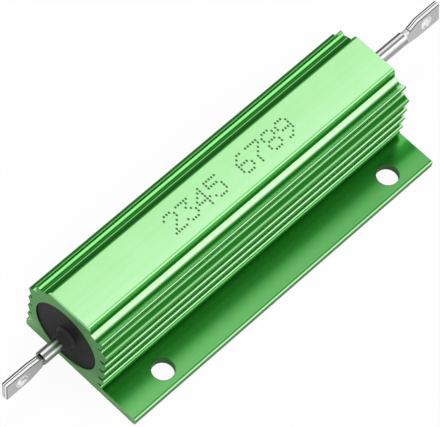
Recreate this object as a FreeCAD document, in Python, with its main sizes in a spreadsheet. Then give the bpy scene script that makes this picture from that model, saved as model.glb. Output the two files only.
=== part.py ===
import FreeCAD, Part
import Sketcher
import math
import os

# Aluminium housed power resistor with a mounting flange along one side.
# X runs along the housing, -Y points to the flange and +Z is up. The origin lies on
# the underside, half way along the housing and below the axis of the bore.

SIZES = [
    ("body_length", 80.0, "length of the extruded housing"),
    ("bore_diameter", 15.46, "bore that holds the potted element"),
    ("floor_wall", 1.28, "metal between the bore and the underside"),
    ("roof_wall", 3.06, "metal between the bore and the flat top"),
    ("side_wall", 1.02, "metal between the bore and the roots of the side fins"),
    ("fin_depth", 1.65, "from root to tip of the fins on the flange side"),
    ("free_fin_depth", 1.2, "the same on the free side"),
    ("side_fin_count", 3, "small fins below the crown fin, on each side"),
    ("fin_slit", 0.45, "height of the slit at the foot of each fin"),
    ("fin_top_rise", 0.25, "how far a fin's top face climbs towards its root"),
    ("fin_foot_rise", 0.25, "how far the slit opens at its mouth"),
    ("fin_flank_lean", 0.55, "how far the flank of a fin leans in on the flange side"),
    ("free_fin_flank_lean", 0.85, "the same on the free side"),
    ("fin_tip_round", 0.35, "radius of the fin tips"),
    ("lowest_fin_rise", 2.4, "tip of the lowest fin above the base nub"),
    ("crown_drop", 5.45, "tip of the crown fin below the flat top"),
    ("crown_rise", 0.75, "how far the crown fin's top climbs towards its root"),
    ("crown_trough", 0.12, "depth of the hollow along the crown fin's top"),
    ("undercut", 1.0, "depth of the groove below the flange side's upper fin"),
    ("free_undercut", 0.55, "the same on the free side"),
    ("upper_groove", 0.4, "height of the groove below the upper fin"),
    ("upper_fin_width", 1.75, "from the valley to the flange side's upper fin tip"),
    ("free_upper_fin_width", 1.18, "the same on the free side"),
    ("upper_fin_drop", 1.98, "top of the upper fin below the flat top"),
    ("upper_fin_edge", 0.4, "height of the upper fin's outer edge"),
    ("upper_fin_hollow", 0.12, "depth of the hollow in the upper fin's top"),
    ("upper_fin_round", 0.18, "radius at both corners of that edge"),
    ("valley_drop", 2.85, "bottom of the valley below the flat top"),
    ("valley_width", 0.45, "from the shoulder to the bottom of the valley"),
    ("block_reach", 5.97, "from the bore's axis to the foot of the raised block, flange side"),
    ("free_block_reach", 5.45, "the same on the free side"),
    ("block_rise", 2.2, "height of the raised block above its shoulders"),
    ("block_draft", 0.35, "how far the block leans in on the flange side"),
    ("free_block_draft", 0.95, "the same on the free side"),
    ("block_round", 0.5, "radius of the block's long top edge on the flange side"),
    ("free_block_round", 0.8, "the same on the free side"),
    ("shoulder_width", 0.83, "shelf beside the block on the flange side"),
    ("free_shoulder_width", 1.12, "the same on the free side"),
    ("shoulder_fall", 0.3, "how far the shelf falls outwards"),
    ("base_reach", 1.15, "end of the base beyond the roots of the fins"),
    ("nub_rise", 0.65, "top of the base's end above the flange"),
    ("base_round", 0.5, "radius of the base's free end"),
    ("flange_thickness", 1.8, "thickness of the mounting flange"),
    ("flange_width", 8.7, "from the end of the base to the flange's edge"),
    ("flange_edge_round", 0.4, "radius along the flange's upper edge"),
    ("flange_foot_round", 0.2, "radius along the flange's lower edge"),
    ("hole_diameter", 4.5, "clearance hole for an M4 screw"),
    ("hole_spacing", 60.4, "distance between the two holes"),
    ("hole_shift", 1.3, "middle of the pair beyond the middle of the housing"),
    ("hole_edge_distance", 3.9, "from the hole's centre to the flange's edge"),
    ("core_diameter", 8.6, "ceramic rod that carries the winding"),
    ("core_setback", 8.0, "from each end of the housing to the ceramic rod"),
    ("ribbon_width", 2.2, "width of the resistance ribbon"),
    ("ribbon_thickness", 0.3, "thickness of the resistance ribbon"),
    ("ribbon_turns", 8, "turns of ribbon between the caps"),
    ("cap_wall", 0.6, "wall of the pressed end caps"),
    ("cap_depth", 7.0, "how far a cap reaches along the core"),
    ("rod_diameter", 2.75, "round part of a terminal"),
    ("rod_reach_near", 6.25, "near rod's shoulder beyond the housing"),
    ("rod_reach_far", 10.7, "far rod's shoulder beyond the housing"),
    ("near_rod_rise", -0.4, "near rod above the axis of the bore"),
    ("near_rod_shift", -0.1, "near rod away from the flange"),
    ("far_rod_rise", 2.4, "far rod above the axis of the bore"),
    ("far_rod_shift", 0.95, "far rod away from the flange"),
    ("blade_length", 9.45, "flattened end from its shoulder to its tip"),
    ("blade_width", 4.9, "height of the flattened end"),
    ("blade_thickness", 1.35, "thickness of the flattened end"),
    ("blade_round", 0.35, "radius along the edges of the flat"),
    ("blade_shift", 0.2, "flat's middle plane towards the flange"),
    ("blade_offset", 0.35, "flat's middle height off the axis of its rod"),
    ("tip_round", 0.35, "rounding all round the end of the flat"),
    ("shoulder_height", 3.3, "height of the flat where the squeeze ends"),
    ("shoulder_length", 0.5, "length of the squeeze from round to flat"),
    ("flare_length", 3.0, "length over which the flat widens to its full height"),
    ("near_blade_turn", 4.0, "lean of the near flat from upright, in degrees"),
    ("far_blade_turn", 9.5, "lean of the far flat from upright, in degrees"),
    ("eye_diameter", 2.75, "pierced hole for the lead"),
    ("eye_distance", 3.8, "from the eye's centre to the tip"),
    ("potting_recess", 0.25, "face of the potting inside each end of the bore"),
    ("collar_height", 2.2, "potting drawn up round each rod"),
    ("collar_foot", 1.2, "foot of that collar outside the rod"),
    ("collar_waist", 0.55, "where its steep foot ends outside the rod"),
    ("collar_waist_height", 0.7, "height of that steep foot"),
    ("collar_lip", 0.2, "its rim outside the rod"),
    ("clearance", 0.02, "room between the winding and its neighbours"),
]

doc = FreeCAD.newDocument("housed_resistor")
sheet = doc.addObject("Spreadsheet::Sheet", "Sizes")
for row, (alias, value, note) in enumerate(SIZES, start=1):
    sheet.set("A%d" % row, note)
    sheet.set("B%d" % row, str(value))
    sheet.setAlias("B%d" % row, alias)
doc.recompute()

ALIASES = {alias for alias, value, note in SIZES}

# Heights and half widths of the section, each worked out from the sizes above.
TOP = "( floor_wall + bore_diameter + roof_wall )"
BORE_HEIGHT = "( floor_wall + bore_diameter / 2 )"
ROOT = "( bore_diameter / 2 + side_wall )"
BASE_END = "( " + ROOT + " + base_reach )"
NUB_TOP = "( flange_thickness + nub_rise )"
LOWEST_TIP = "( " + NUB_TOP + " + lowest_fin_rise )"
CROWN_TIP = "( " + TOP + " - crown_drop )"
CROWN_ROOT_TOP = "( " + CROWN_TIP + " + crown_rise )"
PITCH = "( ( " + CROWN_TIP + " - " + LOWEST_TIP + " ) / side_fin_count )"
SHELF_TOP = "( " + TOP + " - block_rise )"
VALLEY_BOTTOM = "( " + TOP + " - valley_drop )"
UPPER_TOP = "( " + TOP + " - upper_fin_drop )"
FLANGE_EDGE = "( " + BASE_END + " + flange_width )"
POTTING_END = "( body_length / 2 - potting_recess )"
CAP_RADIUS = "( core_diameter / 2 + cap_wall )"
CORE_END = "( body_length / 2 - core_setback )"
ELEMENT_END = "( " + CORE_END + " + cap_wall )"
CAP_MOUTH = "( " + ELEMENT_END + " - cap_depth )"
RIBBON_FOOT = "( core_diameter / 2 + clearance )"
RIBBON_TOP = "( " + RIBBON_FOOT + " + ribbon_thickness )"


def linked(text):
    """The expression with every alias looked up in the sheet."""
    return " ".join("Sizes." + word if word in ALIASES else word for word in text.split())


def evaluate(text):
    """The number that an expression gives at present."""
    result = sheet.evalExpression(linked(text))
    return float(getattr(result, "Value", result))


def bind(item, prop, text):
    """Binds a property of a document object to an expression of the sheet's sizes."""
    item.setExpression(prop, linked(text))


def new_body(name):
    body = doc.addObject("PartDesign::Body", name)
    body.Label = name
    return body


def origin_feature(body, role):
    """One of the body's own origin planes or axes."""
    return next(item for item in body.Origin.OriginFeatures if item.Role == role)


def attach(item, body, plane, offset=None):
    """Lays a sketch or primitive on one of the body's origin planes."""
    item.AttachmentSupport = [(origin_feature(body, plane), "")]
    item.MapMode = "FlatFace"
    if offset is not None:
        bind(item, "AttachmentOffset.Base.z", offset)


def new_sketch(body, name, plane, offset=None):
    sketch = body.newObject("Sketcher::SketchObject", name)
    attach(sketch, body, plane, offset)
    return sketch


def pin(sketch, geometry, position, across, up):
    """Holds a point of the sketch at two expressions, measured from the origin."""
    for kind, text in (("DistanceX", across), ("DistanceY", up)):
        constraint = Sketcher.Constraint(kind, -1, 1, geometry, position, evaluate(text))
        bind(sketch, "Constraints[%d]" % sketch.addConstraint(constraint), text)


def minus(text):
    return "( 0 - " + text + " )"


def draw_outline(sketch, corners):
    """Straight lines through corners that are given as pairs of expressions."""
    points = [FreeCAD.Vector(evaluate(across), evaluate(up), 0) for across, up in corners]
    following = points[1:] + points[:1]
    for start, end in zip(points, following):
        sketch.addGeometry(Part.LineSegment(start, end))
    for index in range(len(points)):
        nearest = (index + 1) % len(points)
        sketch.addConstraint(Sketcher.Constraint("Coincident", index, 2, nearest, 1))
    for index, (across, up) in enumerate(corners):
        pin(sketch, index, 1, across, up)


def draw_rectangle(sketch, left, bottom, right, top):
    draw_outline(sketch, [(left, bottom), (right, bottom), (right, top), (left, top)])


def draw_circle(sketch, across, up, diameter):
    centre = FreeCAD.Vector(evaluate(across), evaluate(up), 0)
    radius = evaluate(diameter) / 2
    index = sketch.addGeometry(Part.Circle(centre, FreeCAD.Vector(0, 0, 1), radius))
    pin(sketch, index, 3, across, up)
    constraint = Sketcher.Constraint("Diameter", index, 2 * radius)
    bind(sketch, "Constraints[%d]" % sketch.addConstraint(constraint), diameter)


def draw_rounded_bar(sketch, across, rise, width, height, radius):
    """An upright rectangle with rounded corners, its middle at the given place."""
    side = "( " + width + " / 2 )"
    crest = "( " + height + " / 2 )"
    short_side = "( " + width + " / 2 - " + radius + " )"
    short_crest = "( " + height + " / 2 - " + radius + " )"
    sides = [
        ((side, minus(short_crest)), (side, short_crest)),
        ((short_side, crest), (minus(short_side), crest)),
        ((minus(side), short_crest), (minus(side), minus(short_crest))),
        ((minus(short_side), minus(crest)), (short_side, minus(crest))),
    ]
    for ends in sides:
        places = [
            ("( " + across + " + " + out + " )", "( " + rise + " + " + up + " )")
            for out, up in ends
        ]
        points = [FreeCAD.Vector(evaluate(out), evaluate(up), 0) for out, up in places]
        line = sketch.addGeometry(Part.LineSegment(*points))
        pin(sketch, line, 1, *places[0])
        pin(sketch, line, 2, *places[1])
    corners = [(1, 1), (-1, 1), (-1, -1), (1, -1)]
    quarter = math.pi / 2
    for turn, (right, top) in enumerate(corners):
        out = evaluate(across) + right * evaluate(short_side)
        up = evaluate(rise) + top * evaluate(short_crest)
        centre = FreeCAD.Vector(out, up, 0)
        circle = Part.Circle(centre, FreeCAD.Vector(0, 0, 1), evaluate(radius))
        arc = sketch.addGeometry(Part.ArcOfCircle(circle, turn * quarter, (turn + 1) * quarter))
        sketch.addConstraint(Sketcher.Constraint("Tangent", turn, 2, arc, 1))
        sketch.addConstraint(Sketcher.Constraint("Coincident", arc, 2, (turn + 1) % len(sides), 1))


def pad(body, name, sketch, length, symmetric=False):
    feature = body.newObject("PartDesign::Pad", name)
    feature.Profile = sketch
    feature.SideType = "Symmetric" if symmetric else "One side"
    bind(feature, "Length", length)


def loft(body, name, first, last):
    feature = body.newObject("PartDesign::AdditiveLoft", name)
    feature.Profile = first
    feature.Sections = [last]
    doc.recompute()


def cut(body, name, sketch, length):
    """A pocket to both sides of its sketch; it has to take metal away."""
    before = body.Shape.Volume
    feature = body.newObject("PartDesign::Pocket", name)
    feature.Profile = sketch
    feature.SideType = "Symmetric"
    bind(feature, "Length", length)
    doc.recompute()
    if body.Shape.Volume > before - 1e-6:
        raise RuntimeError(name + " cuts nothing")


def edges_at(shape, axis, spots):
    """Names of the straight edges along an axis that pass through the given spots."""
    others = [index for index in range(3) if index != axis]
    names = []
    for number, edge in enumerate(shape.Edges, start=1):
        if len(edge.Vertexes) != 2:
            continue
        first, last = (vertex.Point for vertex in edge.Vertexes)
        if abs((last - first)[axis]) < 0.999 * edge.Length:
            continue
        for spot in spots:
            miss = max(abs(first[other] - place) for other, place in zip(others, spot))
            if miss < 1e-4:
                names.append("Edge%d" % number)
                break
    return names


def fillet(body, name, axis, spots, radius):
    """Rounds the straight edges along an axis through spots given as expressions."""
    doc.recompute()
    places = [(evaluate(first), evaluate(second)) for first, second in spots]
    names = edges_at(body.Shape, axis, places)
    if not names:
        raise RuntimeError(name + " finds no edge")
    base = body.Tip
    feature = body.newObject("PartDesign::Fillet", name)
    feature.Base = (base, names)
    bind(feature, "Radius", radius)
    doc.recompute()


class Side:
    """Distances from the middle of the section to what lies on one side of it."""

    def __init__(self, prefix):
        own = {
            alias: prefix + alias
            for alias in (
                "fin_depth", "fin_flank_lean", "undercut", "upper_fin_width",
                "block_reach", "block_draft", "block_round", "shoulder_width",
            )
        }
        self.tip = "( " + ROOT + " + " + own["fin_depth"] + " )"
        self.flank_foot = "( " + self.tip + " - " + own["fin_flank_lean"] + " )"
        self.block_foot = own["block_reach"]
        self.block_edge = "( " + self.block_foot + " - " + own["block_draft"] + " )"
        self.block_round = own["block_round"]
        self.shelf_end = "( " + self.block_foot + " + " + own["shoulder_width"] + " )"
        self.valley = "( " + self.shelf_end + " + valley_width )"
        self.upper_tip = "( " + self.valley + " + " + own["upper_fin_width"] + " )"
        self.upper_edge = [
            (self.upper_tip, "( " + UPPER_TOP + " - upper_fin_edge )"),
            ("( " + self.upper_tip + " - upper_fin_edge / 2 )", UPPER_TOP),
        ]
        self.undercut = own["undercut"]
        self.crown_root = "( " + self.upper_tip + " - " + self.undercut + " )"


FLANGE_SIDE = Side("")
FREE_SIDE = Side("free_")


def fin_tip_heights():
    """Heights of the tips of the small fins, from the lowest up."""
    return [
        "( " + LOWEST_TIP + " + " + str(index) + " * " + PITCH + " )"
        for index in range(round(evaluate("side_fin_count")))
    ]


def fin_flank(side, foot, tip):
    """Corners from a fin's root at its foot to its tip."""
    return [
        (ROOT, foot),
        (side.flank_foot, "( " + foot + " + fin_foot_rise )"),
        (side.tip, tip),
    ]


def side_section(side):
    """One side of the section, from the end of the base up to the flat top's edge."""
    corners = [(BASE_END, "0"), (BASE_END, NUB_TOP), (ROOT, NUB_TOP)]
    ledge = NUB_TOP
    for tip in fin_tip_heights():
        corners += fin_flank(side, "( " + ledge + " + fin_slit )", tip)
        ledge = "( " + tip + " + fin_top_rise )"
        corners.append((ROOT, ledge))
    corners += fin_flank(side, "( " + ledge + " + fin_slit )", CROWN_TIP)
    groove_top = "( " + CROWN_ROOT_TOP + " + upper_groove )"
    corners += [
        ("( ( " + side.crown_root + " + 2 * " + side.tip + " ) / 3 )",
         "( " + CROWN_TIP + " + crown_rise / 3 - crown_trough )"),
        ("( ( 2 * " + side.crown_root + " + " + side.tip + " ) / 3 )",
         "( " + CROWN_TIP + " + 2 * crown_rise / 3 + crown_trough )"),
        (side.crown_root, CROWN_ROOT_TOP),
        (side.crown_root, groove_top),
        ("( " + side.upper_tip + " - " + side.undercut + " / 2 )",
         "( " + groove_top + " + fin_foot_rise / 2 )"),
        *side.upper_edge,
        ("( ( " + side.upper_tip + " + " + side.valley + " ) / 2 )",
         "( ( " + UPPER_TOP + " + " + VALLEY_BOTTOM + " ) / 2 - upper_fin_hollow )"),
        (side.valley, VALLEY_BOTTOM),
        (side.shelf_end, "( " + SHELF_TOP + " - shoulder_fall )"),
        (side.block_foot, SHELF_TOP),
        (side.block_edge, TOP),
    ]
    return corners


def make_housing():
    """The extrusion: finned body, flat-topped block, bore and one-sided flange."""
    body = new_body("housing")
    section = new_sketch(body, "body_section", "YZ_Plane")
    flange_side = [(minus(out), up) for out, up in side_section(FLANGE_SIDE)]
    draw_outline(section, flange_side + side_section(FREE_SIDE)[::-1])
    pad(body, "extrusion", section, "body_length", symmetric=True)

    tips = []
    for height in fin_tip_heights() + [CROWN_TIP]:
        tips += [(minus(FLANGE_SIDE.tip), height), (FREE_SIDE.tip, height)]
    fillet(body, "fin_tips", 0, tips, "fin_tip_round")
    flange_side_edge = (minus(FLANGE_SIDE.block_edge), TOP)
    fillet(body, "block_flange_side_edge", 0, [flange_side_edge], FLANGE_SIDE.block_round)
    fillet(body, "block_free_side_edge", 0, [(FREE_SIDE.block_edge, TOP)], FREE_SIDE.block_round)
    upper_edges = [(minus(out), up) for out, up in FLANGE_SIDE.upper_edge] + FREE_SIDE.upper_edge
    fillet(body, "upper_fin_edges", 0, upper_edges, "upper_fin_round")
    base_edges = [(BASE_END, "0"), (BASE_END, NUB_TOP), (minus(BASE_END), NUB_TOP)]
    fillet(body, "base_ends", 0, base_edges, "base_round")

    flange = new_sketch(body, "flange_section", "YZ_Plane")
    inside = minus("( " + BASE_END + " - base_round )")
    draw_rectangle(flange, minus(FLANGE_EDGE), "0", inside, "flange_thickness")
    pad(body, "flange", flange, "body_length", symmetric=True)
    fillet(body, "flange_upper_edge", 0, [(minus(FLANGE_EDGE), "flange_thickness")], "flange_edge_round")
    fillet(body, "flange_lower_edge", 0, [(minus(FLANGE_EDGE), "0")], "flange_foot_round")

    bore = new_sketch(body, "bore_section", "YZ_Plane")
    draw_circle(bore, "0", BORE_HEIGHT, "bore_diameter")
    cut(body, "bore", bore, "2 * body_length")

    holes = new_sketch(body, "hole_centres", "XY_Plane")
    across_flange = minus("( " + FLANGE_EDGE + " - hole_edge_distance )")
    for sign in ("-", "+"):
        along = "( hole_shift " + sign + " hole_spacing / 2 )"
        draw_circle(holes, along, across_flange, "hole_diameter")
    cut(body, "flange_holes", holes, "4 * flange_thickness")


def make_ceramic_core():
    """The ceramic rod inside, on the axis of the bore."""
    body = new_body("ceramic_core")
    section = new_sketch(body, "core_section", "YZ_Plane")
    draw_circle(section, "0", "0", "core_diameter")
    pad(body, "core", section, "2 * " + CORE_END, symmetric=True)
    bind(body, "Placement.Base.z", BORE_HEIGHT)


def make_resistance_ribbon():
    """Flat resistance ribbon wound round the core from one cap to the other."""
    body = new_body("resistance_ribbon")
    section = new_sketch(body, "ribbon_section", "XZ_Plane")
    start = minus(CAP_MOUTH)
    draw_rectangle(section, start, RIBBON_FOOT, "( " + start + " + ribbon_width )", RIBBON_TOP)
    winding = body.newObject("PartDesign::AdditiveHelix", "winding")
    winding.Profile = section
    winding.ReferenceAxis = (section, ["H_Axis"])
    winding.Mode = "height-turns-angle"
    bind(winding, "Height", "2 * " + CAP_MOUTH + " - ribbon_width")
    bind(winding, "Turns", "ribbon_turns")
    bind(body, "Placement.Base.z", BORE_HEIGHT)


def make_end_cap(name, turn):
    """A drawn steel cup pressed over one end of the core."""
    body = new_body(name)
    section = new_sketch(body, "cup_section", "XZ_Plane")
    core_radius = "( core_diameter / 2 )"
    draw_outline(section, [
        (ELEMENT_END, "0"),
        (ELEMENT_END, CAP_RADIUS),
        (CAP_MOUTH, CAP_RADIUS),
        (CAP_MOUTH, core_radius),
        (CORE_END, core_radius),
        (CORE_END, "0"),
    ])
    cup = body.newObject("PartDesign::Revolution", "cup")
    cup.Profile = section
    cup.ReferenceAxis = (section, ["H_Axis"])
    cup.Angle = 360
    body.Placement.Rotation = FreeCAD.Rotation(FreeCAD.Vector(0, 1, 0), turn)
    bind(body, "Placement.Base.z", BORE_HEIGHT)


def add_collar(body, name, side, shift, rise):
    """Potting drawn up round a rod: a steep foot, then a flank that runs out along it."""
    def along(text):
        return "( " + side + " ( " + POTTING_END + " + " + text + " ) )"

    def outside(text):
        return "( rod_diameter / 2 + " + text + " )"

    sketch = new_sketch(body, name + "_collar_section", "XZ_Plane", minus(shift))
    bind(sketch, "AttachmentOffset.Base.y", rise)
    inside = along("( 0 - potting_recess )")
    draw_outline(sketch, [
        (inside, "0"),
        (inside, outside("collar_foot")),
        (along("0"), outside("collar_foot")),
        (along("collar_waist_height"), outside("collar_waist")),
        (along("collar_height"), outside("collar_lip")),
        (along("collar_height"), "0"),
    ])
    collar = body.newObject("PartDesign::Revolution", name + "_collar")
    collar.Profile = sketch
    collar.ReferenceAxis = (sketch, ["H_Axis"])
    collar.Angle = 360
    doc.recompute()


def make_potting():
    """Black filling that holds the element and closes both ends of the bore."""
    body = new_body("potting")
    section = new_sketch(body, "potting_section", "YZ_Plane")
    draw_circle(section, "0", "0", "bore_diameter")
    pad(body, "filling", section, "2 * " + POTTING_END, symmetric=True)
    for name, side, shift, rise in (
        ("near", "0 -", "near_rod_shift", "near_rod_rise"),
        ("far", "0 +", "far_rod_shift", "far_rod_rise"),
    ):
        add_collar(body, name, side, shift, rise)
        way_end = "( " + side + " ( " + POTTING_END + " + collar_height ) )"
        socket = new_sketch(body, name + "_rod_socket", "YZ_Plane", way_end)
        draw_circle(socket, shift, rise, "rod_diameter")
        way_length = "2 * ( " + POTTING_END + " + collar_height - " + ELEMENT_END + " )"
        cut(body, name + "_rod_way", socket, way_length)

    cavity = new_sketch(body, "element_section", "XZ_Plane")
    winding_way = "( " + RIBBON_TOP + " + clearance )"
    draw_outline(cavity, [
        (minus(ELEMENT_END), "0"),
        (ELEMENT_END, "0"),
        (ELEMENT_END, CAP_RADIUS),
        (CAP_MOUTH, CAP_RADIUS),
        (CAP_MOUTH, winding_way),
        (minus(CAP_MOUTH), winding_way),
        (minus(CAP_MOUTH), CAP_RADIUS),
        (minus(ELEMENT_END), CAP_RADIUS),
    ])
    before = body.Shape.Volume
    room = body.newObject("PartDesign::Groove", "element_room")
    room.Profile = cavity
    room.ReferenceAxis = (cavity, ["H_Axis"])
    room.Angle = 360
    doc.recompute()
    if body.Shape.Volume > before - 1:
        raise RuntimeError("element_room cuts nothing")
    bind(body, "Placement.Base.z", BORE_HEIGHT)


def round_tip(body, place):
    """Rounds the edges that lie wholly in the end face of the flat."""
    names = [
        "Edge%d" % number
        for number, edge in enumerate(body.Shape.Edges, start=1)
        if all(abs(vertex.X - place) < 1e-4 for vertex in edge.Vertexes)
    ]
    base = body.Tip
    feature = body.newObject("PartDesign::Fillet", "tip_edge")
    feature.Base = (base, names)
    bind(feature, "Radius", "tip_round")
    doc.recompute()


def make_terminal(name, reach):
    """A tinned rod from its cap out through the potting, flattened and pierced."""
    body = new_body(name)
    rod_end = "( body_length / 2 + " + reach + " )"
    flat_start = "( " + rod_end + " + shoulder_length )"
    flare_end = "( " + flat_start + " + flare_length )"
    tip = "( " + rod_end + " + blade_length )"
    middle = "( 0 - blade_shift )"
    root = new_sketch(body, "rod_root", "YZ_Plane", ELEMENT_END)
    draw_circle(root, "0", "0", "rod_diameter")
    pad(body, "rod", root, rod_end + " - " + ELEMENT_END)

    def flat_section(label, place, rise, height):
        sketch = new_sketch(body, label, "YZ_Plane", place)
        draw_rounded_bar(sketch, middle, rise, "blade_thickness", height, "blade_round")
        return sketch

    round_end = new_sketch(body, "round_end", "YZ_Plane", rod_end)
    draw_circle(round_end, "0", "0", "rod_diameter")
    narrow = flat_section("narrow_flat", flat_start, "0", "shoulder_height")
    loft(body, "shoulder", round_end, narrow)
    flare_start = flat_section("flare_start", flat_start, "0", "shoulder_height")
    wide = flat_section("wide_flat", flare_end, "blade_offset", "blade_width")
    loft(body, "flare", flare_start, wide)
    flat = flat_section("blade_section", flare_end, "blade_offset", "blade_width")
    pad(body, "blade", flat, tip + " - " + flare_end)
    doc.recompute()
    round_tip(body, evaluate(tip))

    eye = new_sketch(body, "eye_centre", "XZ_Plane")
    draw_circle(eye, "( " + tip + " - eye_distance )", "blade_offset", "eye_diameter")
    cut(body, "eye", eye, "4 * blade_thickness")
    return body


def place_terminal(body, flip, turn, shift, rise):
    about_y = FreeCAD.Rotation(FreeCAD.Vector(0, 1, 0), flip)
    about_x = FreeCAD.Rotation(FreeCAD.Vector(1, 0, 0), turn)
    body.Placement.Rotation = about_y.multiply(about_x)
    bind(body, "Placement.Base.y", shift)
    bind(body, "Placement.Base.z", BORE_HEIGHT + " + " + rise)


make_housing()
make_ceramic_core()
make_resistance_ribbon()
make_end_cap("far_cap", 0)
make_end_cap("near_cap", 180)
make_potting()
far_terminal = make_terminal("far_terminal", "rod_reach_far")
place_terminal(far_terminal, 0, -evaluate("far_blade_turn"), "far_rod_shift", "far_rod_rise")
near_terminal = make_terminal("near_terminal", "rod_reach_near")
place_terminal(near_terminal, 180, evaluate("near_blade_turn"), "near_rod_shift", "near_rod_rise")
doc.recompute()

for item in doc.Objects:
    if {"Invalid", "Error"} & set(item.State):
        raise RuntimeError(item.Name + " failed: " + ", ".join(item.State))
os.makedirs("parts", exist_ok=True)
for body in doc.findObjects("PartDesign::Body"):
    shape = body.Shape
    if shape.isNull() or not shape.isValid() or len(shape.Solids) != 1:
        raise RuntimeError(body.Label + " is not one valid solid")
    shape.exportStep("parts/" + body.Label + ".step")
    print(body.Label, "volume", round(shape.Volume, 1), shape.BoundBox)
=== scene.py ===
import math

import bmesh
import bpy
from mathutils import Matrix, Vector


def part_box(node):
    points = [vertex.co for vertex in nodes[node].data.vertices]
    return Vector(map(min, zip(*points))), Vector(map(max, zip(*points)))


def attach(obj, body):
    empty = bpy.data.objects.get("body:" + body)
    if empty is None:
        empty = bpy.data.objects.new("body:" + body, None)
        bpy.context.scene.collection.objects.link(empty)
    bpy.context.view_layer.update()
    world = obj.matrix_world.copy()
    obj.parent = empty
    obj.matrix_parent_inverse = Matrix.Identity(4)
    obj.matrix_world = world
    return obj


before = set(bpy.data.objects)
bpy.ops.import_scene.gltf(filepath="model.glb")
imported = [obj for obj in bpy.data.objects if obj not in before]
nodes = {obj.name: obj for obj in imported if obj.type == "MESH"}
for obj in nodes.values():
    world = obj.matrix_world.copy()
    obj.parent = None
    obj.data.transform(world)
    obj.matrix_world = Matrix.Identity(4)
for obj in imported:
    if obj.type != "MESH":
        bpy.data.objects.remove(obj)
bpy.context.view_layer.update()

# Millimetres in the frame's metres
MM = 0.001

# The housing's flat top in metres and half its length in millimetres
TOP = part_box("housing")[1].z
HALF_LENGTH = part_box("housing")[1].x / MM

# The bore and the flange's holes, in millimetres like every place in the tables below
BORE_HEIGHT = 9.01
BORE_RADIUS = 7.73
HOLE_MIDDLE = 1.3
HOLE_SPACING = 60.4
HOLE_ACROSS = -14.7
HOLE_RADIUS = 2.25
HOLE_RIM = 0.1

# A height that only the flange and the body's foot lie below
ABOVE_FLANGE = 1.9

# Camera: long lens from above the near end, on the flange's side
CAMERA_AZIMUTH = math.radians(-53.2075)
CAMERA_ELEVATION = math.radians(60.5266)
CAMERA_ROLL = math.radians(8.9929)
CAMERA_DISTANCE = 0.68038
CAMERA_ACROSS = 0.000758
CAMERA_UP = 0.002872
CAMERA_CLIP = (0.05, 20)
LENS = 295.62
SENSOR = 36.0


def make_camera():
    flat = math.cos(CAMERA_ELEVATION)
    back = Vector((
        math.sin(CAMERA_AZIMUTH) * flat,
        -math.cos(CAMERA_AZIMUTH) * flat,
        math.sin(CAMERA_ELEVATION),
    ))
    level = Vector((math.cos(CAMERA_AZIMUTH), math.sin(CAMERA_AZIMUTH), 0))
    rise = back.cross(level)
    right = math.cos(CAMERA_ROLL) * level + math.sin(CAMERA_ROLL) * rise
    up = math.cos(CAMERA_ROLL) * rise - math.sin(CAMERA_ROLL) * level
    place = CAMERA_ACROSS * right + CAMERA_UP * up + CAMERA_DISTANCE * back
    data = bpy.data.cameras.new("camera")
    data.lens = LENS
    data.sensor_width = SENSOR
    data.clip_start, data.clip_end = CAMERA_CLIP
    camera = bpy.data.objects.new("camera", data)
    turn = Matrix((right, up, back)).transposed()
    camera.matrix_world = Matrix.Translation(place) @ turn.to_4x4()
    bpy.context.scene.collection.objects.link(camera)
    bpy.context.scene.camera = camera


make_camera()


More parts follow.
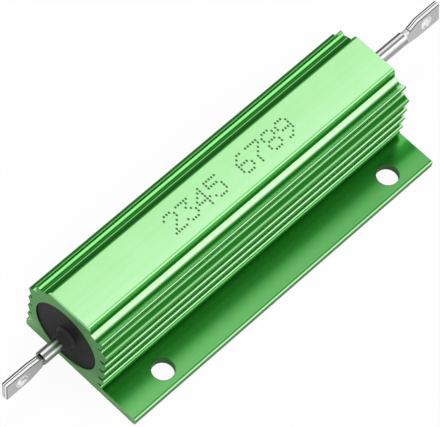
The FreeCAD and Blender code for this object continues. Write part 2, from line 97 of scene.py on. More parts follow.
class Nodes:
    """Short ways to build a shader's nodes."""

    def __init__(self, tree):
        self.tree = tree

    def fill(self, node, inputs):
        """Links or constants for a node's sockets."""
        for socket, value in inputs.items():
            if isinstance(value, bpy.types.NodeSocket):
                self.tree.links.new(value, node.inputs[socket])
            else:
                node.inputs[socket].default_value = value

    def add(self, kind, inputs=None, **settings):
        node = self.tree.nodes.new("ShaderNode" + kind)
        for name, value in settings.items():
            setattr(node, name, value)
        self.fill(node, inputs or {})
        return node

    def math(self, operation, first, second=0.0, third=0.0):
        inputs = {0: first, 1: second, 2: third}
        return self.add("Math", inputs, operation=operation).outputs[0]

    def product(self, *numbers):
        """Numbers multiplied; of masks, one where every mask is one."""
        result = numbers[0]
        for number in numbers[1:]:
            result = self.math("MULTIPLY", result, number)
        return result

    def shares(self, first, second):
        """Two numbers added up, each given with its share."""
        return self.math("ADD", self.math("MULTIPLY", *first), self.math("MULTIPLY", *second))

    def distance(self, first, second):
        """How far two offsets at right angles reach together."""
        return self.math("SQRT", self.shares((first, first), (second, second)))

    def ramp(self, value, low, high, first=0.0, last=1.0):
        """A number carried smoothly from one range to another."""
        inputs = {"Value": value, "From Min": low, "From Max": high, "To Min": first, "To Max": last}
        return self.add("MapRange", inputs, interpolation_type="SMOOTHSTEP").outputs[0]

    def within(self, value, low, high):
        """One where the value lies in a range, else nought."""
        return self.product(self.math("GREATER_THAN", value, low), self.math("LESS_THAN", value, high))

    def choose(self, mask, first, second):
        """A number between two numbers."""
        return self.add("Mix", {0: mask, 2: first, 3: second}, data_type="FLOAT").outputs[0]

    def mix(self, factor, first, second):
        """A colour between two colours."""
        return self.add("Mix", {0: factor, 6: first, 7: second}, data_type="RGBA").outputs[2]

    def times(self, colour, factor):
        """A colour made deeper by another."""
        inputs = {0: 1.0, 6: colour, 7: factor}
        return self.add("Mix", inputs, data_type="RGBA", blend_type="MULTIPLY").outputs[2]

    def colours(self, value, stops, blend="LINEAR"):
        """A colour that follows stops, each a share and its colour."""
        node = self.add("ValToRGB", {"Fac": value})
        node.color_ramp.interpolation = blend
        marks = node.color_ramp.elements
        while len(marks) < len(stops):
            marks.new(0.5)
        for mark, (share, colour) in zip(marks, stops):
            mark.position = share
            mark.color = colour
        return node.outputs["Color"]

    def curve(self, value, stops, blend="LINEAR"):
        """A grey that follows stops, each a value and its level."""
        low, high = stops[0][0], stops[-1][0]
        share = self.math("MULTIPLY_ADD", value, 1 / (high - low), -low / (high - low))
        return self.colours(share, [((at - low) / (high - low), grey(level)) for at, level in stops], blend)

    def normal(self):
        """The three parts of the direction that the surface faces."""
        return self.add("SeparateXYZ", {"Vector": self.add("TexCoord").outputs["Normal"]}).outputs

    def facing(self):
        """Degrees from up, round the X axis, that the surface faces; positive towards +Y."""
        normal = self.normal()
        return self.math("DEGREES", self.math("ARCTAN2", normal["Y"], normal["Z"]))

    def place(self):
        return self.add("TexCoord").outputs["Object"]

    def millimetres(self):
        """The place on the part along X, Y and Z, in millimetres."""
        scaled = self.add("VectorMath", {"Vector": self.place(), "Scale": 1 / MM}, operation="SCALE")
        return self.add("SeparateXYZ", {"Vector": scaled.outputs[0]}).outputs

    def noise(self, scale, detail, roughness=0.5, stretch=(1, 1, 1)):
        """Noise on the object's coordinates, which may have their own scale along each axis."""
        vector = self.place()
        if stretch != (1, 1, 1):
            vector = self.add("Mapping", {"Vector": vector, "Scale": stretch}).outputs[0]
        inputs = {"Vector": vector, "Scale": scale, "Detail": detail, "Roughness": roughness}
        return self.add("TexNoise", inputs).outputs["Fac"]

    def bump(self, height, distance, strength):
        inputs = {"Height": height, "Distance": distance, "Strength": strength}
        return self.add("Bump", inputs).outputs[0]


def new_material(name):
    material = bpy.data.materials.new(name)
    material.use_nodes = True
    shader = material.node_tree.nodes["Principled BSDF"]
    return material, Nodes(material.node_tree), shader


def grey(level):
    return (level, level, level, 1)


WHITE = grey(1)

# Ranges of noise that a ramp spreads out: most of it, or its middle alone
NOISE_BODY = (0.3, 0.7)
NOISE_CORE = (0.35, 0.65)

# Green of the anodising, from its darkest painted shade to its lightest painted highlight
GREENS = [
    (0.0, (0.002, 0.03, 0.002, 1)),
    (0.15, (0.018, 0.13, 0.017, 1)),
    (0.35, (0.075, 0.33, 0.075, 1)),
    (0.6, (0.2, 0.58, 0.19, 1)),
    (0.92, (0.46, 0.9, 0.42, 1)),
    (1.0, (0.57, 0.97, 0.54, 1)),
]

# How much the streaks and clouds change that tone
UNEVENNESS = (0.972, 1.012)

# Roughness of the skin and of the milled ends: what noise adds, and the least of it
SKIN_ROUGHNESS, END_ROUGHNESS = (0.14, 0.16), (0.2, 0.38)
SKIN_SPECULAR = (0.6, 0.9, 0.6, 1)

# Painted light and shade on each side of the section: level by how far a surface leans outwards, in degrees
FLANGE_SIDE_LEAN = [
    (-180, 0.15), (-60, 0.3), (-30, 0.7), (-12, 0.9), (0, 0.97), (12, 1.0), (22, 0.84), (34, 0.58),
    (50, 0.4), (66, 0.24), (84, 0.13), (100, 0.06), (180, 0.1),
]
FREE_SIDE_LEAN = [
    (-180, 0.15), (-65, 0.3), (-30, 0.7), (-12, 0.9), (0, 0.9), (7, 0.75), (16, 0.42), (28, 0.18),
    (50, 0.08), (66, 0.07), (100, 0.12), (180, 0.12),
]

# Side fins: their heights, their roots' distance out, and for each side how the painted light rises
# from painted shade in the gaps to the tips, as a range of distances out and its first and last share
FIN_HEIGHTS = (2.6, 14.2)
FIN_ROOTS = 8.6
FLANGE_SIDE_GAPS = (9.8, 10.1, 0.72, 1.18)
FREE_SIDE_GAPS = (9.3, 10.0, 0.2, 1.0)

# Painted light across the flat top, from the flange side's edge to the free side's
TOP_LEVELS = [
    (-5.5, 1.0), (-5.3, 0.95), (-5.24, 0.72), (-5.02, 0.72), (-4.9, 1.0), (-4.2, 0.975), (0, 0.945),
    (3.4, 0.93), (4.5, 0.88),
]

# Painted light and shade up the block's flank on the flange side
FLANK_LEVELS = [
    (17.5, 0.34), (17.85, 0.28), (18.15, 0.11), (18.45, 0.16), (18.7, 0.3), (19.0, 0.68), (19.3, 0.6),
    (19.6, 0.5),
]

# Painted shade up the valley beside the block, and painted light up the upper fin on each side
VALLEY_LEVELS = [(16.9, 0.08), (17.0, 0.17), (17.12, 0.35), (17.2, 0.5), (17.26, 0.6), (17.3, 0.72)]
FLANGE_FIN_LEVELS = [
    (16.9, 0.35), (17.0, 0.46), (17.12, 0.66), (17.2, 0.8), (17.28, 0.92), (17.5, 0.98), (17.7, 1.0),
]
FREE_FIN_LEVELS = [
    (16.9, 0.1), (17.0, 0.25), (17.1, 0.7), (17.2, 0.6), (17.28, 0.42), (17.35, 0.5), (17.53, 1.0),
    (17.66, 0.3), (17.85, 0.2),
]

# Painted light from the middle outwards, across the free side's shelf and the crown fin's top
FREE_SHELF_LEVELS = [(5.4, 0.1), (5.9, 0.12), (6.05, 0.16), (6.2, 0.8), (6.33, 0.18), (6.6, 0.08)]
CROWN_LEVELS = [
    (7.9, 0.35), (8.3, 0.78), (8.55, 0.76), (8.7, 1.0), (8.82, 1.0), (8.93, 0.3), (9.1, 0.14),
    (9.4, 0.15), (9.7, 0.18), (9.83, 0.32), (9.94, 0.88), (10.06, 0.55), (10.3, 0.36),
]

# Zones with painted light and shade of their own: their side, their ranges of height, of distance
# out from the middle and of outward lean, what their levels follow, and the levels
LEAST, MOST = -1000, 1000
LIT_ZONES = [
    ("both", (19.7, MOST), (0, MOST), (-8, 8), "y", TOP_LEVELS),
    ("flange", (17.55, 19.5), (0, 6.1), (55, 100), "z", FLANK_LEVELS),
    ("both", (16.9, 17.36), (6.5, 7.3), (25, 55), "z", VALLEY_LEVELS),
    ("flange", (16.9, 17.95), (6.7, MOST), (LEAST, 5), "z", FLANGE_FIN_LEVELS),
    ("free", (16.9, 17.95), (6.7, MOST), (LEAST, 5), "z", FREE_FIN_LEVELS),
    ("free", (17.2, 17.65), (5.4, 6.62), (5, 30), "out", FREE_SHELF_LEVELS),
    ("both", (14.2, 15.3), (7.9, 10.36), (-60, 48), "out", CROWN_LEVELS),
]

# The flange's upper face, all painted light and shade: its leans, its level outwards, thin painted dark
# lines near its edge, how the painted light falls from the near end to the far one, and a painted
# shade patch at the far end with its ranges along the part, inwards and outwards
FLANGE_LEAN = (-30, 30)
FLANGE_LEVELS = [
    (9.9, 0.6), (10.6, 0.58), (11.5, 0.6), (12.4, 0.56), (13.2, 0.48), (14.0, 0.41), (15.0, 0.44),
    (16.2, 0.51), (18.0, 0.52),
]
FLANGE_LINES = [
    (17.3, 1.0), (17.42, 1.0), (17.5, 0.88), (17.58, 1.0), (17.98, 1.0), (18.06, 0.66), (18.2, 0.6),
]
FLANGE_FADE = (-40, 40, 1.1, 0.94)
PATCH_ALONG, PATCH_INWARDS, PATCH_OUTWARDS = (28, 36), (15.2, 13.6), (11.2, 12.6)
PATCH_DIMMING = 0.42

# The flange's rounded rim: where it starts, and its painted light level by outward lean
FLANGE_RIM = 18.22
FLANGE_RIM_LEAN = [
    (-10, 0.3), (14, 0.28), (24, 0.5), (34, 1.0), (60, 1.0), (72, 0.5), (82, 0.36), (100, 0.36),
]

# Colours over the green on the flange's side: painted highlights on the shelf beside the block and
# the upper fin's slope, painted reflection on the flange, the holes' walls, painted shade on the outer edge
SHELF_HEIGHTS, SHELF_REACH = (16.9, 17.5), (5.8, 6.95)
SHELF_HIGHLIGHT = (0.49, 0.69, 0.44, 1)
SLOPE_REACH, SLOPE_FOOT, SLOPE_CREST = (7.2, 8.8), (17.05, 17.4), (17.68, 17.52)
SLOPE_HIGHLIGHT = (0.72, 1.0, 0.77, 1)
FLANGE_REACH = (9.9, 18.2)
FIN_REFLECTION_GREEN = (0.0, 1.0, 0.1, 1)
HOLE_TINT = (0.1, 0.165, 0.085, 1)
OUTER_EDGE, OUTER_EDGE_LEAN = -18.45, -72
OUTER_EDGE_SHADE = (0.175, 0.27, 0.165, 1)

# Painted reflection of the green fins on the flange: share of red and blue that the green keeps, from the
# flange's root to its edge
FLANGE_REFLECTION_KEEPS = [(10.0, 0.6), (12.0, 0.55), (13.2, 0.5), (15.0, 0.8), (17.0, 0.95), (18.2, 1.0)]

# Milled ends: how far in they reach, their two greens, and painted light: a paler painted reflection
# of the floor at their foot, a painted highlight at their top and a greyer one round the bore
END_DEPTH = (0.12, 0.03)
END_GREENS = ((0.135, 0.31, 0.13, 1), (0.185, 0.385, 0.175, 1))
END_FOOT, END_FOOT_REFLECTION = (7.0, 2.0), (0.28, 0.48, 0.245, 1)
END_TOP, END_TOP_HIGHLIGHT = (18.5, 19.3), (0.48, 0.86, 0.45, 1)
BORE_RIM, BORE_RIM_SHARE, BORE_RIM_HIGHLIGHT = (0.5, 0.1), 0.55, (0.22, 0.33, 0.2, 1)

# Silicone: its two blacks, the collars' lighter black, which is painted light against their shade, and
# the range round the housing's end over which it comes in, and the dust
SILICONE_BLACKS = ((0.007, 0.0068, 0.007, 1), (0.012, 0.0117, 0.012, 1))
COLLAR_PAINTED_LIGHT, COLLAR_START = (0.029, 0.029, 0.03, 1), (-0.2, 0.1)
DUST, DUST_SPECKS = (0.07, 0.066, 0.07, 1), (0.66, 0.78)

# Painted reflections on the terminals' round rods and on the faces of their flats, by lean in degrees
NEAR_ROD_LEAN = [
    (-180, 0.4), (-110, 0.2), (-92, 0.26), (-74, 0.4), (-64, 0.28), (-56, 0.36), (-50, 0.9), (-42, 1.0),
    (-37, 0.75), (-31, 0.24), (-24, 0.13), (-14, 0.18), (-7, 0.4), (-1, 0.95), (6, 1.0), (11, 0.9),
    (16, 0.45), (22, 0.14), (30, 0.08), (42, 0.1), (54, 0.15), (66, 0.2), (80, 0.3), (180, 0.4),
]
FAR_ROD_LEAN = [
    (-180, 0.5), (-108, 0.68), (-84, 0.48), (-70, 0.36), (-58, 0.34), (-46, 0.52), (-36, 0.78),
    (-30, 0.98), (-22, 0.95), (-16, 0.55), (-11, 0.3), (-5, 0.2), (1, 0.36), (7, 0.75), (13, 0.98),
    (19, 0.75), (25, 0.36), (31, 0.14), (40, 0.05), (75, 0.05), (120, 0.3), (180, 0.5),
]
FLAT_LEAN = [(-180, 0.4), (-100, 0.58), (-86, 0.56), (-80, 0.51), (0, 0.5), (90, 0.5), (180, 0.4)]

# Painted reflections across the thickness of a flat's edge, from its face on the flange's side
FLAT_EDGE = [
    (-0.68, 0.22), (-0.58, 0.2), (-0.46, 0.95), (-0.2, 1.0), (-0.1, 0.16), (0.02, 0.16), (0.1, 0.95),
    (0.22, 0.95), (0.3, 0.12), (0.42, 0.05), (0.68, 0.05),
]

# Painted light and shade on the squeezed shoulders between rod and flat, by lean
NEAR_SHOULDER = [(-180, 0.12), (180, 0.12)]
FAR_SHOULDER = [
    (-180, 0.62), (-60, 0.62), (-48, 0.9), (-30, 0.95), (4, 0.95), (14, 0.45), (24, 0.22), (180, 0.2),
]

# Each terminal: its rod's painted light, where its flat starts, how much lighter the flat's painted light
# is there, the middle of its eye, the lean of its flat and its shoulder's painted light
TERMINALS = {
    "near": {
        "rod": NEAR_ROD_LEAN, "start": 46.4, "flat_start_light": 1.1, "eye": (51.9, -0.32, 8.28), "turn": 4.0,
        "shoulder": NEAR_SHOULDER,
    },
    "far": {
        "rod": FAR_ROD_LEAN, "start": 50.9, "flat_start_light": 1.1, "eye": (56.35, 0.81, 11.81), "turn": 9.5,
        "shoulder": FAR_SHOULDER,
    },
}

# How far along a flat the painted light stays lighter, and what counts as its edge: a lean, or facing end on
FLAT_START_LIGHT_LENGTH = 8.0
EDGE_LEAN, EDGE_END_ON = (-74, 76), 0.35

# Painted light and shade on the shoulder and the notch above it, each along the terminal from the
# flat's start, and on the dark painted pinch that follows them
SHOULDER, SHOULDER_LEAN, SHOULDER_END_ON = (-0.7, 0.5), -52, 0.3
NOTCH, PINCH, NOTCH_LEAN, PINCH_LEVEL = (-0.2, 0.75), (0.75, 1.0), (-70, 76), 0.2

# The eyes' walls: just over their radius, their roughness, and the ramp of noise that makes them
# look torn
EYE_WALL = 1.425
EYE_ROUGHNESS = 0.6
TORN = (0.28, 0.34, 0.6, 1.0)


def painted_light_on_green(n, x, y, z):
    """Painted light and shade in the green: the long forms of the section get painted light and dark bands.
    """
    free = n.math("GREATER_THAN", y, 0.0)
    sides = {"flange": n.math("SUBTRACT", 1.0, free), "free": free, "both": 1.0}
    out = n.math("ABSOLUTE", y)
    followed = {"y": y, "z": z, "out": out}
    lean = n.math("MULTIPLY", n.facing(), n.math("SIGN", y))
    # Painted light and shade by how far each surface leans outwards
    tone = n.choose(free, n.curve(lean, FLANGE_SIDE_LEAN, "B_SPLINE"),
                    n.curve(lean, FREE_SIDE_LEAN, "B_SPLINE"))

    # Painted shade in the gaps between the side fins, rising to the tips
    fins = n.product(n.within(z, *FIN_HEIGHTS), n.math("GREATER_THAN", out, FIN_ROOTS))
    gap_shade = n.choose(free, n.ramp(out, *FLANGE_SIDE_GAPS), n.ramp(out, *FREE_SIDE_GAPS))
    tone = n.choose(fins, tone, n.math("MULTIPLY", tone, gap_shade))
    # Painted light and shade, zone by zone
    for side, heights, reach, leans, measure, levels in LIT_ZONES:
        zone = n.product(sides[side], n.within(z, *heights), n.within(out, *reach), n.within(lean, *leans))
        tone = n.choose(zone, tone, n.curve(followed[measure], levels))

    # Painted light and shade on the flange's upper face, with a painted shade patch at the far end
    low = n.math("LESS_THAN", z, ABOVE_FLANGE)
    shade_patch = n.product(n.ramp(x, *PATCH_ALONG), n.ramp(out, *PATCH_INWARDS), n.ramp(out, *PATCH_OUTWARDS))
    shade = n.product(n.curve(out, FLANGE_LEVELS, "B_SPLINE"), n.curve(out, FLANGE_LINES),
                      n.ramp(x, *FLANGE_FADE), n.math("MULTIPLY_ADD", shade_patch, -PATCH_DIMMING, 1.0))
    tone = n.choose(n.product(low, n.within(lean, *FLANGE_LEAN)), tone, shade)
    # Painted light on the flange's rounded rim, by lean
    rim = n.product(low, n.math("GREATER_THAN", out, FLANGE_RIM))
    return n.choose(rim, tone, n.curve(lean, FLANGE_RIM_LEAN, "EASE"))


def hole_mask(n, x, y, z):
    """One on the walls and the sharp rims of the two holes in the flange."""
    from_middle = n.math("ABSOLUTE", n.math("SUBTRACT", x, HOLE_MIDDLE))
    along = n.math("SUBTRACT", from_middle, HOLE_SPACING / 2)
    from_hole = n.distance(along, n.math("SUBTRACT", y, HOLE_ACROSS))
    inside = n.math("LESS_THAN", from_hole, HOLE_RADIUS + HOLE_RIM)
    return n.product(inside, n.math("LESS_THAN", z, ABOVE_FLANGE))


def skin_with_painted_light(n, skin, x, y, z):
    """The green with pale painted highlights on the shelf and the upper fin's slope, a painted reflection of
    the fins on the flange, grey-green hole walls and painted shade on the outer edge.
    """
    flange_side = n.math("LESS_THAN", y, 0.0)
    out = n.math("ABSOLUTE", y)
    # Painted highlight: the shelf beside the block gets a pale grey-green
    shelf_highlight = n.product(flange_side, n.within(z, *SHELF_HEIGHTS), n.within(out, *SHELF_REACH))
    skin = n.mix(shelf_highlight, skin, SHELF_HIGHLIGHT)
    # Painted highlight: a pale, whiter green up the upper fin's slope
    slope_highlight = n.product(flange_side, n.within(out, *SLOPE_REACH), n.ramp(z, *SLOPE_FOOT),
                      n.ramp(z, *SLOPE_CREST))
    skin = n.mix(slope_highlight, skin, SLOPE_HIGHLIGHT)
    # Painted reflection of the green fins: the flange's green deepens towards its root
    flange = n.product(flange_side, n.math("LESS_THAN", z, ABOVE_FLANGE), n.within(out, *FLANGE_REACH))
    fin_reflection = n.product(flange, n.math("SUBTRACT", 1.0, n.curve(out, FLANGE_REFLECTION_KEEPS)))
    skin = n.times(skin, n.mix(fin_reflection, WHITE, FIN_REFLECTION_GREEN))
    skin = n.mix(hole_mask(n, x, y, z), skin, HOLE_TINT)
    # Painted shade: the flange's outer edge gets a dull grey-green
    shaded_edge = n.product(n.math("LESS_THAN", y, OUTER_EDGE),
                           n.math("LESS_THAN", n.facing(), OUTER_EDGE_LEAN))
    return n.mix(shaded_edge, skin, OUTER_EDGE_SHADE)


def milled_green(n, mill, y, z):
    """Grey-green of the milled ends, with a paler painted reflection of the floor at the foot, a painted
    highlight at the top and a greyer painted highlight round the bore.
    """
    colour = n.mix(n.ramp(mill, *NOISE_BODY), *END_GREENS)
    # Painted reflection of the floor: paler and greyer at the foot
    colour = n.mix(n.ramp(z, *END_FOOT), colour, END_FOOT_REFLECTION)
    # Painted highlight: a greyer, lighter rim round the bore
    from_bore = n.distance(y, n.math("SUBTRACT", z, BORE_HEIGHT))
    outer, inner = BORE_RIM
    rim = n.ramp(from_bore, BORE_RADIUS + outer, BORE_RADIUS + inner, 0.0, BORE_RIM_SHARE)
    colour = n.mix(rim, colour, BORE_RIM_HIGHLIGHT)
    # Painted highlight: the top of each end takes a pale green
    return n.mix(n.ramp(z, *END_TOP), colour, END_TOP_HIGHLIGHT)


def anodised_aluminium():
    """Satin green anodising over extrusion streaks, with milled grey-green ends, and light, shade and
    reflections painted into its colour.
    """
    material, n, shader = new_material("green_anodised_painted_light")
    streak = n.noise(1.0, 5.0, 0.6, stretch=(14, 5200, 5200))
    broad_streak = n.noise(1.0, 3.0, stretch=(5, 900, 900))
    grain = n.noise(4200.0, 3.0)
    cloud = n.noise(160.0, 2.0)
    mill = n.noise(1.0, 4.0, 0.65, stretch=(900, 9000, 700))
    along = n.shares((streak, 0.5), (broad_streak, 0.5))

    x, y, z = n.millimetres()
    unevenness = n.ramp(n.shares((cloud, 0.3), (along, 0.7)), *NOISE_CORE, *UNEVENNESS)
    # Painted light and shade by form, with a little random unevenness
    tone = n.product(painted_light_on_green(n, x, y, z), unevenness)
    skin = skin_with_painted_light(n, n.colours(tone, GREENS), x, y, z)
    start, whole = END_DEPTH
    end_face = n.ramp(n.math("ABSOLUTE", x), HALF_LENGTH - start, HALF_LENGTH - whole)
    skin_rough = n.math("MULTIPLY_ADD", along, *SKIN_ROUGHNESS)
    end_rough = n.math("MULTIPLY_ADD", mill, *END_ROUGHNESS)
    relief = n.choose(end_face, n.shares((streak, 0.7), (grain, 0.3)), mill)
    n.fill(shader, {
        "Base Color": n.mix(end_face, skin, milled_green(n, mill, y, z)),
        "Specular Tint": SKIN_SPECULAR,
        "Roughness": n.choose(end_face, skin_rough, end_rough),
        "Metallic": 1.0,
        "Normal": n.bump(relief, 0.006 * MM, 0.6),
    })
    return material


def black_silicone():
    """Matte filled silicone with fine grit, a few pale specks of dust and collars of a lighter black, painted
    light.
    """
    material, n, shader = new_material("black_silicone_finish")
    grit = n.noise(5200.0, 4.0)
    cloud = n.noise(420.0, 3.0)
    colour = n.mix(n.ramp(cloud, *NOISE_BODY), *SILICONE_BLACKS)
    beyond = n.math("SUBTRACT", n.math("ABSOLUTE", n.millimetres()["X"]), HALF_LENGTH)
    # Painted light: the collars past the recessed face get a lighter black
    colour = n.mix(n.ramp(beyond, *COLLAR_START), colour, COLLAR_PAINTED_LIGHT)
    n.fill(shader, {
        "Base Color": n.mix(n.ramp(grit, *DUST_SPECKS), colour, DUST),
        "Roughness": n.ramp(grit, *NOISE_BODY, 0.42, 0.6),
        "Specular IOR Level": 0.11,
        "Normal": n.bump(grit, 0.03 * MM, 0.5),
    })
    return material


def painted_terminal_light(n, rod, start, flat_start_light, eye, turn, shoulder):
    """Painted light and reflections on a terminal, by lean on its rod and by place across its flat's edge,
    and its eye's wall.
    """
    x, y, z = n.millimetres()
    reach = n.math("ABSOLUTE", x)
    lean = n.facing()
    end_on = n.math("ABSOLUTE", n.normal()["X"])
    sideways = n.math("SUBTRACT", y, eye[1])
    upwards = n.math("SUBTRACT", z, eye[2])
    cosine, sine = math.cos(math.radians(turn)), math.sin(math.radians(turn))
    across = n.shares((sideways, cosine), (upwards, -sine))
    rise = n.shares((sideways, sine), (upwards, cosine))

    # Painted reflections: by lean on the rod and the flat's faces, lighter near the flat's start, and across
    # its edges
    on_flat = n.math("GREATER_THAN", reach, start)
    face = n.product(n.curve(lean, FLAT_LEAN, "EASE"), n.ramp(reach, start, start + FLAT_START_LIGHT_LENGTH, flat_start_light, 1.0))
    edge = n.math("MAXIMUM", n.within(lean, *EDGE_LEAN), n.math("GREATER_THAN", end_on, EDGE_END_ON))
    flat = n.choose(edge, face, n.curve(across, FLAT_EDGE, "EASE"))
    tone = n.choose(on_flat, n.curve(lean, rod, "EASE"), flat)

    # Painted highlight and shade on the shoulder, the notch above it and the dark pinch
    squeezed = n.curve(lean, shoulder)
    steep = n.product(n.math("GREATER_THAN", end_on, SHOULDER_END_ON),
                      n.math("GREATER_THAN", lean, SHOULDER_LEAN))
    upper = n.within(lean, *NOTCH_LEAN)
    marks = ((SHOULDER, steep, squeezed), (NOTCH, upper, squeezed), (PINCH, upper, PINCH_LEVEL))
    for (low, high), shown, level in marks:
        tone = n.choose(n.product(n.within(reach, start + low, start + high), shown), tone, level)

    from_eye = n.distance(n.math("SUBTRACT", reach, eye[0]), rise)
    wall = n.product(n.math("LESS_THAN", from_eye, EYE_WALL), on_flat)
    return n.choose(wall, tone, n.ramp(n.noise(1100.0, 0.0), *TORN)), wall


def drawn_metal(name, dull, bright, rough, stretch, terminal=None):
    """Metal with fine lines along X, a little uneven in colour and gloss; on a terminal, its colour is
    multiplied by painted reflections.
    """
    material, n, shader = new_material(name)
    lines = n.noise(1.0, 5.0, 0.6, stretch=stretch)
    cloud = n.noise(900.0, 3.0)
    colour = n.mix(n.ramp(n.shares((lines, 0.6), (cloud, 0.4)), *NOISE_CORE), dull, bright)
    roughness = n.ramp(cloud, *NOISE_BODY, rough, rough + 0.1)
    if terminal:
        level, wall = painted_terminal_light(n, **terminal)
        # Painted reflections multiplied into a terminal's colour
        colour = n.times(colour, level)
        roughness = n.choose(wall, roughness, EYE_ROUGHNESS)
    n.fill(shader, {
        "Base Color": colour,
        "Roughness": roughness,
        "Metallic": 1.0,
        "Normal": n.bump(lines, 0.008 * MM, 0.6),
    })
    return material


def grained(name, dark, pale, scale, detail, gloss, metallic, relief):
    """A matte finish with a fine grain."""
    material, n, shader = new_material(name)
    grain = n.noise(scale, detail)
    height, strength = relief
    n.fill(shader, {
        "Base Color": n.mix(n.ramp(grain, *NOISE_BODY), dark, pale),
        "Roughness": n.ramp(grain, *NOISE_BODY, *gloss),
        "Metallic": metallic,
        "Normal": n.bump(grain, height * MM, strength),
    })
    return material


def dress(node, material):
    """Gives a carried-over node its finish."""
    nodes[node].data.materials.clear()
    nodes[node].data.materials.append(material)


dress("housing", anodised_aluminium())
dress("potting", black_silicone())
for end, terminal in TERMINALS.items():
    tinned = drawn_metal(end + "_tinned_painted_reflections", grey(0.9), grey(1.0), 0.14, (60, 5000, 5000), terminal)
    dress(end + "_terminal", tinned)

# Unglazed steatite
STEATITE = ((0.78, 0.755, 0.69, 1), (0.9, 0.885, 0.84, 1))
dress("ceramic_core", grained("ceramic_finish", *STEATITE, 2600.0, 5.0, (0.55, 0.75), 0.0, (0.02, 0.6)))

ALLOY = ((0.42, 0.39, 0.35, 1), (0.6, 0.57, 0.52, 1))
dress("resistance_ribbon", drawn_metal("resistance_alloy_finish", *ALLOY, 0.3, (900, 900, 900)))
steel = drawn_metal("pressed_steel_finish", grey(0.5), grey(0.68), 0.25, (200, 3000, 3000))
for cap in ("near_cap", "far_cap"):
    dress(cap, steel)


# Rows of dots that a pin peens into the flat top: a counting row of plain digits
DIGITS = {
    "2": (".###.", "#...#", "....#", "...#.", "..#..", ".#...", "#####"),
    "3": ("#####", "...#.", "..#..", "...#.", "....#", "#...#", ".###."),
    "4": ("...#.", "..##.", ".#.#.", "#..#.", "#####", "...#.", "...#."),
    "5": ("#####", "#....", "####.", "....#", "....#", "#...#", ".###."),
    "6": ("..##.", ".#...", "#....", "####.", "#...#", "#...#", ".###."),
    "7": ("#####", "....#", "...#.", "..#..", ".#...", ".#...", ".#..."),
    "8": (".###.", "#...#", "#...#", ".###.", "#...#", "#...#", ".###."),
    "9": (".###.", "#...#", "#...#", ".####", "....#", "...#.", ".##.."),
}
MARKING = "2345 6789"
DOT_PITCH = 0.67 * MM
DIGIT_ADVANCE = 3.65 * MM
MARKING_START = -14.8 * MM
MARKING_TOP = 1.55 * MM

# A dot: radius and height of its rings from the rim inwards, its sides, and how much longer it is
# across the part than along it
DOT_RINGS = ((0.23, 0.002), (0.2, 0.012), (0.15, 0.008), (0.08, 0.004))
DOT_SIDES = 12
DOT_STRETCH = 1.25

# Bare grey-green metal where the pin broke through the anodising
PEENED = ((0.07, 0.15, 0.06, 1), (0.13, 0.23, 0.11, 1))


def add_dot(form, across, up):
    previous = None
    for radius, height in DOT_RINGS:
        ring = []
        for side in range(DOT_SIDES):
            angle = math.tau * side / DOT_SIDES
            x = across + radius * MM * math.cos(angle)
            y = up + DOT_STRETCH * radius * MM * math.sin(angle)
            ring.append(form.verts.new((x, y, TOP + height * MM)))
        if previous:
            for side in range(DOT_SIDES):
                after = (side + 1) % DOT_SIDES
                form.faces.new((previous[side], previous[after], ring[after], ring[side]))
        previous = ring
    form.faces.new(previous)


def make_marking():
    form = bmesh.new()
    for place, digit in enumerate(MARKING):
        for row, line in enumerate(DIGITS.get(digit, ())):
            for column, mark in enumerate(line):
                if mark == "#":
                    across = MARKING_START + place * DIGIT_ADVANCE + column * DOT_PITCH
                    add_dot(form, across, MARKING_TOP - row * DOT_PITCH)
    mesh = bpy.data.meshes.new("marking_dots")
    form.to_mesh(mesh)
    form.free()
    mesh.shade_smooth()
    mesh.materials.append(grained("peened_finish", *PEENED, 9000.0, 3.0, (0.45, 0.6), 0.8, (0.01, 0.5)))
    dots = bpy.data.objects.new("marking_dots", mesh)
    bpy.context.scene.collection.objects.link(dots)
    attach(dots, "root")


make_marking()

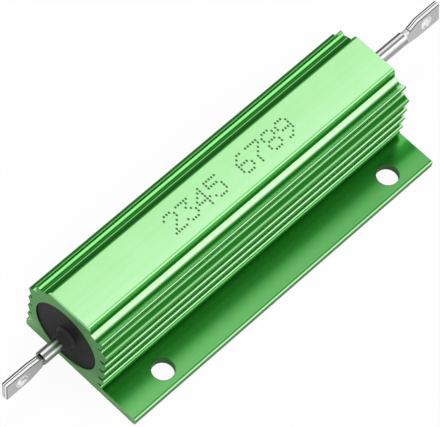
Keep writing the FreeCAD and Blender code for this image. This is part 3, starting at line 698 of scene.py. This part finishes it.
# Studio: a pale floor just below the part, of which the camera sees mostly plain white, white
# surroundings with their strength for diffuse rays, and soft lamps that look at the part. Each
# lamp has its name, place, size and power, and whether it shows in reflections
FLOOR_SIZE, FLOOR_DROP, FLOOR_WHITE = 3.0, 0.02 * MM, 0.94
SURROUNDINGS = 0.55
LAMPS = (
    ("line_lamp", (0.42, -0.5, 0.84), (0.4, 0.4), 0.46, True),
    ("key_lamp", (0.3, 0.3, 1.1), (0.5, 0.5), 5.0, False),
    ("fill_lamp", (-0.6, -0.5, 0.8), (0.6, 0.6), 3.0, False),
)


def make_floor():
    mesh = bpy.data.meshes.new("floor")
    form = bmesh.new()
    bmesh.ops.create_grid(form, x_segments=1, y_segments=1, size=FLOOR_SIZE)
    form.to_mesh(mesh)
    form.free()
    floor = bpy.data.objects.new("floor", mesh)
    floor.location.z = -FLOOR_DROP
    bpy.context.scene.collection.objects.link(floor)
    material, n, shader = new_material("pale_floor")
    n.fill(shader, {"Base Color": grey(0.88), "Roughness": 0.8, "Specular IOR Level": 0.1})
    white = n.add("Emission", {"Color": WHITE, "Strength": 1.0})
    seen = n.math("MULTIPLY", n.add("LightPath").outputs["Is Camera Ray"], FLOOR_WHITE)
    blend = n.add("MixShader", {0: seen, 1: shader.outputs[0], 2: white.outputs[0]})
    n.fill(n.tree.nodes["Material Output"], {"Surface": blend.outputs[0]})
    mesh.materials.append(material)


def make_world():
    world = bpy.data.worlds.new("studio")
    bpy.context.scene.world = world
    world.use_nodes = True
    n = Nodes(world.node_tree)
    n.tree.nodes.clear()
    rays = n.add("LightPath").outputs
    seen = n.math("MAXIMUM", rays["Is Camera Ray"], rays["Is Glossy Ray"])
    seen = n.math("MAXIMUM", seen, rays["Is Transmission Ray"])
    soft = n.add("Background", {"Color": WHITE, "Strength": SURROUNDINGS})
    white = n.add("Background", {"Color": WHITE, "Strength": 1.0})
    blend = n.add("MixShader", {0: seen, 1: soft.outputs[0], 2: white.outputs[0]})
    n.add("OutputWorld", {"Surface": blend.outputs[0]})


def make_lamp(name, place, size, power, mirrored):
    data = bpy.data.lights.new(name, "AREA")
    data.shape = "RECTANGLE"
    data.size, data.size_y = size
    data.energy = power
    lamp = bpy.data.objects.new(name, data)
    lamp.location = place
    lamp.rotation_euler = (-Vector(place)).to_track_quat("-Z", "Y").to_euler()
    lamp.visible_glossy = mirrored
    bpy.context.scene.collection.objects.link(lamp)


make_floor()
make_world()
for lamp in LAMPS:
    make_lamp(*lamp)

bpy.context.scene.view_settings.view_transform = "Standard"
